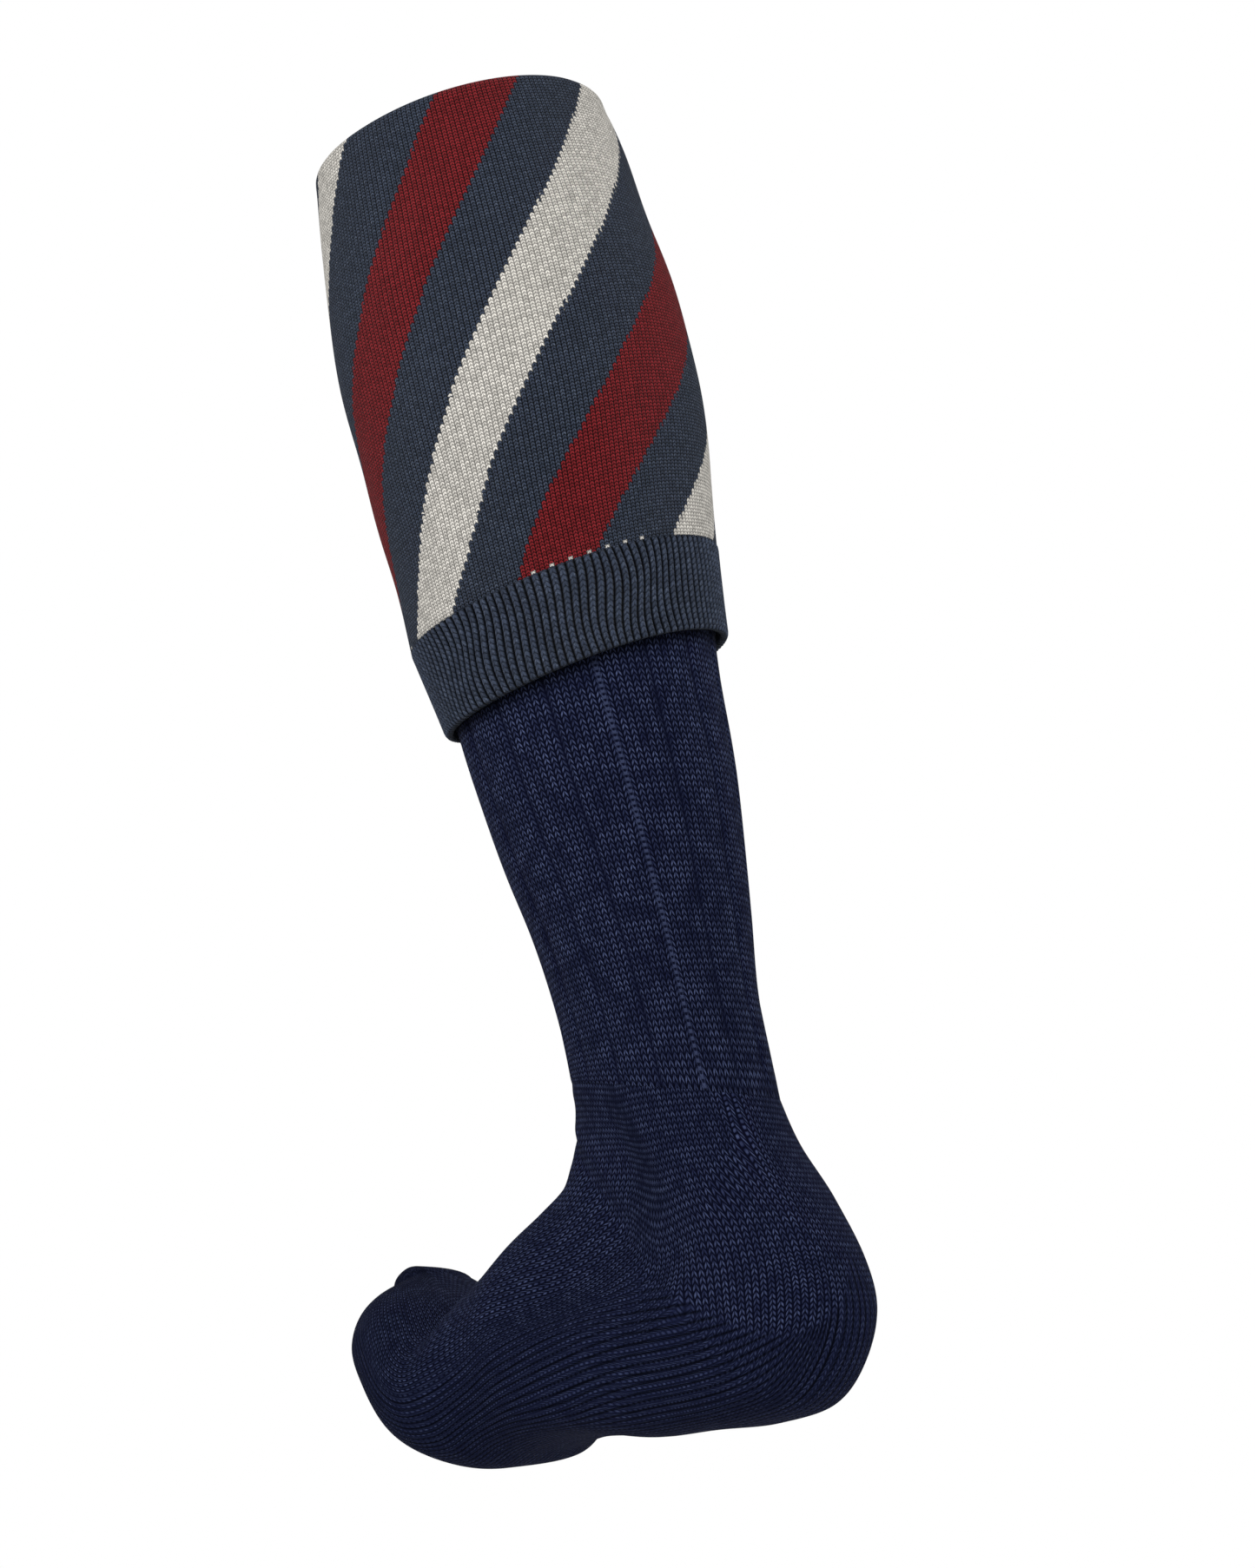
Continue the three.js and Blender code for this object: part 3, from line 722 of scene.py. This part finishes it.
def foot_and_heel():
    """Foot and heel as two closed pieces cut from one surface, with one set of normals."""
    columns = 190
    angle = (np.arange(columns) / columns * 2 * np.pi)[None, :]
    rings = foot_rings()
    places = even_places(rings, 1.4)
    fine = smooth_rows(np.arange(len(rings)), rings, places)[:, None]
    tips = np.radians([84, 76, 68, 60, 51, 42, 33, 24, 16, 8])[:, None]

    def face(inset):
        dome = TOE_DOME - inset
        tip = ring_point(rings[0][None, None], angle, inset, np.cos(tips), dome * np.sin(tips))
        return np.concatenate([tip, ring_point(fine, angle, inset)])

    outer = face(0.0)
    inner = face(FOOT_WALL)
    normals = surface_normals(outer)
    reach = np.hypot(fine[..., 0] - fine[..., 2], fine[..., 1] - fine[..., 3]) / 2
    proportions = (fine[..., 4] + fine[..., 5]) / 2 / reach
    proportions = np.concatenate([np.full((len(tips), 1), proportions[0, 0]), proportions])
    wale, course, ridged, ridge, gore = foot_wales(outer, angle, proportions)
    fade = smooth_step(outer[..., 2], BEND + 10, BEND - 10)
    moved = unevenness(outer, 0.45) * fade - 0.5 * gore
    outer = outer + normals * moved[..., None]
    normals = surface_normals(outer)
    rows = len(outer)
    faces, corner_places = ring_faces(rows, columns, closed=False)
    toes = np.arange(columns)[::-1]
    points = np.concatenate([outer.reshape(-1, 3), inner.reshape(-1, 3)])
    all_normals = np.concatenate([normals.reshape(-1, 3), -normals.reshape(-1, 3)])
    maps = {"Stitches": paired(opened(wale)[:-1], opened(course)[:-1]),
            "Ridges": paired(opened(ridged)[:-1], opened(ridge)[:-1])}
    centre = points[faces].mean(1)
    in_heel = (centre[:, 1] > CORNER_Y) & (centre[:, 2] < SOLE + HEEL_TOP)
    material = foot_material()
    for name, node, chosen, cap in (("foot_knit", "foot", ~in_heel, toes),
                                    ("heel_knit", "heel", in_heel, toes[:0])):
        used, piece_faces, corners_used = cut_faces(
            faces[chosen], corner_places[chosen], cap, rows * columns)
        piece_maps = {label: values[corners_used] for label, values in maps.items()}
        make_piece(name, node, points[used], piece_faces, piece_maps,
                   material, all_normals[used])


def sides_of(quads):
    """The four sides of quads, as pairs of corners."""
    return np.concatenate([quads[:, [0, 1]], quads[:, [1, 2]], quads[:, [2, 3]], quads[:, [3, 0]]])


def cut_faces(faces, places, cap, shift):
    """Chosen outer quads with their inner twins, walls round the cut edges and a cap at the toes.

    Gives the points used, the faces that join them and the map place of each face corner.
    """
    edges, marks = sides_of(faces), sides_of(places)
    keys = {tuple(edge) for edge in edges.tolist()}
    toes = set(cap.tolist())
    rim = np.array([(b, a) not in keys and not (a in toes and b in toes)
                    for a, b in edges.tolist()])
    start, end = edges[rim].T
    start_mark, end_mark = marks[rim].T
    walls = np.stack([end, start, start + shift, end + shift], -1)
    wall_marks = np.stack([end_mark, start_mark, start_mark, end_mark], -1)
    quads = np.concatenate([faces, faces[:, ::-1] + shift, walls])
    corner_marks = np.concatenate([places, places[:, ::-1], wall_marks]).reshape(-1)
    used, compact = np.unique(quads, return_inverse=True)
    piece_faces = compact.reshape(quads.shape).tolist()
    if len(cap):
        piece_faces += [np.searchsorted(used, cap).tolist(),
                        np.searchsorted(used, cap[::-1] + shift).tolist()]
        corner_marks = np.concatenate([corner_marks, cap, cap[::-1]])
    return used, piece_faces, corner_marks


def fold_arc(start, end, steps):
    """Drops and distances out round a half turn of the fold."""
    turn = np.linspace(0, np.pi, steps + 1)
    radius = (start - end) / 2
    return -0.3 - np.abs(radius) * np.sin(turn), (start + end) / 2 + radius * np.cos(turn)


def stripe_at(points, angle):
    """Place across the slanting stripes, in periods."""
    degrees = np.degrees(angle)
    slant = 1.333 * (degrees - 125) + 10.1 * np.sin(np.radians(degrees - 125))
    low = smooth_step(points[..., 2], 340, 290) * (3.5 - 5.8 * smooth_step(degrees, 100, 120))
    place = points[..., 2] - slant - 344 + low
    place = place - 15 * smooth_step(place, 115, 172) * smooth_step(degrees, 5, 45)
    return place / STRIPE_PERIOD


def cuff_knit():
    columns = 312
    turn = np.arange(columns + 1) / columns
    angle = (turn * 2 * np.pi)[None, :]
    hooked = -(LEG_WALL + LIP_ROOM)
    hung = np.linspace(1, 0.02, 125) * CUFF_LENGTH
    over = fold_arc(CUFF_STAND + CUFF_WALL, hooked - CUFF_WALL, 12)
    under = fold_arc(hooked, CUFF_STAND, 6)
    back = np.linspace(0.02, 1, 12) * CUFF_LENGTH
    drop = np.concatenate([hung, over[0], [FOLD_LIP, FOLD_LIP], under[0], back])[:, None]
    fold = np.concatenate([over[1], [hooked - CUFF_WALL, hooked], under[1]])
    outs = [stand_at(hung[:, None], angle) + CUFF_WALL, fold[:, None] + 0 * angle,
            stand_at(back[:, None], angle)]
    points = cuff_point(drop + 0 * angle, angle + 0 * drop, np.concatenate(outs))
    stripe = stripe_at(points, angle)
    outside = len(hung) + len(over[0])
    stripe[outside:] = stripe[outside - 1]
    stripe[-1] = stripe[0]
    closed = points[:, :-1]
    normals = surface_normals(closed)
    soft = np.where(np.arange(len(points)) < len(hung), 0.4, 0.0)[:, None]
    closed = closed + normals * (unevenness(closed, 1.0) * soft)[..., None]
    faces, places = ring_faces(len(closed), columns, closed=True)
    length = way_along(closed)
    from_edge = np.concatenate([length, length[-1:] + 2])[:, None]
    stitches = paired(turn[None, :] * CUFF_WALES, from_edge / CUFF_COURSE)
    stripes = paired(np.concatenate([stripe, stripe[:1]]), from_edge)
    make_piece("cuff_knit", "turnover_cuff", closed, faces.tolist(),
               {"Stitches": stitches[places], "Stripes": stripes[places]}, cuff_material())


def welt_knit():
    per_rib = 8
    columns = WELT_RIBS * per_rib
    wale = np.arange(columns + 1) / per_rib
    down = np.linspace(1, 0, 40)[:, None]
    drop = CUFF_LENGTH + down * WELT_HEIGHT
    turn = wale[None, :] * 2 * np.pi / WELT_RIBS
    bend = np.sin(np.pi * down * 1.7 + 0.4 + 0.5 * np.sin(9 * turn))
    waver = (1.1 + 0.6 * np.sin(5 * turn + 1.0)) * bend
    angle = np.radians(wale[None, :] * 360 / WELT_RIBS + waver)
    off = np.abs(wale - np.floor(wale) - 0.5) * 2
    ridge = WELT_RIB_DEPTH * (1 - off ** 2.2)
    ends = np.clip(np.minimum(down, 1 - down) / 0.04, 0, 1) ** 0.5
    out = stand_at(drop, angle) + WELT_WALL - 0.8 + ridge * (0.55 + 0.45 * ends)
    outer = cuff_point(drop + 0 * angle, angle, out)[:, :-1]
    few = down[::13]
    inner_drop = CUFF_LENGTH + few * WELT_HEIGHT
    inner = cuff_point(inner_drop + 0 * angle[::13], angle[::13], stand_at(inner_drop, angle[::13]))
    points = np.concatenate([outer, inner[::-1, :-1]])
    faces, places = ring_faces(len(points), columns, closed=True)
    rows = np.concatenate([1 - down[:, 0], 1 + np.arange(1, len(inner) + 2) * 0.3])
    course = rows * WELT_HEIGHT / WELT_COURSE
    stitches = paired(wale[None, :], course[:, None])
    make_piece("welt_knit", "cuff_welt", points, faces.tolist(),
               {"Stitches": stitches[places]}, welt_material())


def add_camera():
    """Camera at the photo's place: behind the outer side, a little below the sole."""
    axes = (Vector(CAMERA_RIGHT), Vector(CAMERA_UP), -Vector(CAMERA_FORWARD))
    data = bpy.data.cameras.new("photo_camera")
    data.sensor_fit = "AUTO"
    data.sensor_width = 36.0
    data.lens = 59.62
    data.shift_x = -7.54 / PHOTO_HEIGHT
    data.shift_y = -8.19 / PHOTO_HEIGHT
    camera = bpy.data.objects.new("photo_camera", data)
    turn = Matrix(axes).transposed().to_4x4()
    camera.matrix_world = Matrix.Translation(Vector(CAMERA_PLACE)) @ turn
    bpy.context.scene.collection.objects.link(camera)
    bpy.context.scene.camera = camera


def add_light(name, place, target, size, power):
    data = bpy.data.lights.new(name, "AREA")
    data.shape = "DISK"
    data.size = size
    data.energy = power
    light = bpy.data.objects.new(name, data)
    light.location = place
    light.rotation_euler = (Vector(target) - Vector(place)).to_track_quat("-Z", "Y").to_euler()
    bpy.context.scene.collection.objects.link(light)


def add_stage():
    """Pale floor below the camera, white surroundings and soft lights."""
    mesh = bpy.data.meshes.new("floor")
    signs = ((-1, -1), (1, -1), (1, 1), (-1, 1))
    corners_of_floor = [(x * FLOOR_REACH, y * FLOOR_REACH, FLOOR_LEVEL) for x, y in signs]
    mesh.from_pydata(corners_of_floor, [], [(0, 1, 2, 3)])
    floor = bpy.data.objects.new("floor", mesh)
    pale = bpy.data.materials.new("pale floor")
    pale.use_nodes = True
    shader = pale.node_tree.nodes["Principled BSDF"]
    shader.inputs["Base Color"].default_value = (0.85, 0.85, 0.86, 1)
    shader.inputs["Roughness"].default_value = 0.9
    mesh.materials.append(pale)
    bpy.context.scene.collection.objects.link(floor)
    world = bpy.data.worlds.new("white studio")
    world.use_nodes = True
    background = world.node_tree.nodes["Background"]
    background.inputs["Color"].default_value = (1, 1, 1, 1)
    background.inputs["Strength"].default_value = 1.0
    bpy.context.scene.world = world
    add_light("key", (1.2, 1.3, 0.9), LIT_POINT, 1.0, 14)
    add_light("fill", (1.5, -0.6, 0.5), LIT_POINT, 1.2, 6)
    bpy.context.scene.view_settings.view_transform = "Standard"


add_camera()
add_stage()
leg_knit()
foot_and_heel()
cuff_knit()
welt_knit()

bpy.context.view_layer.update()
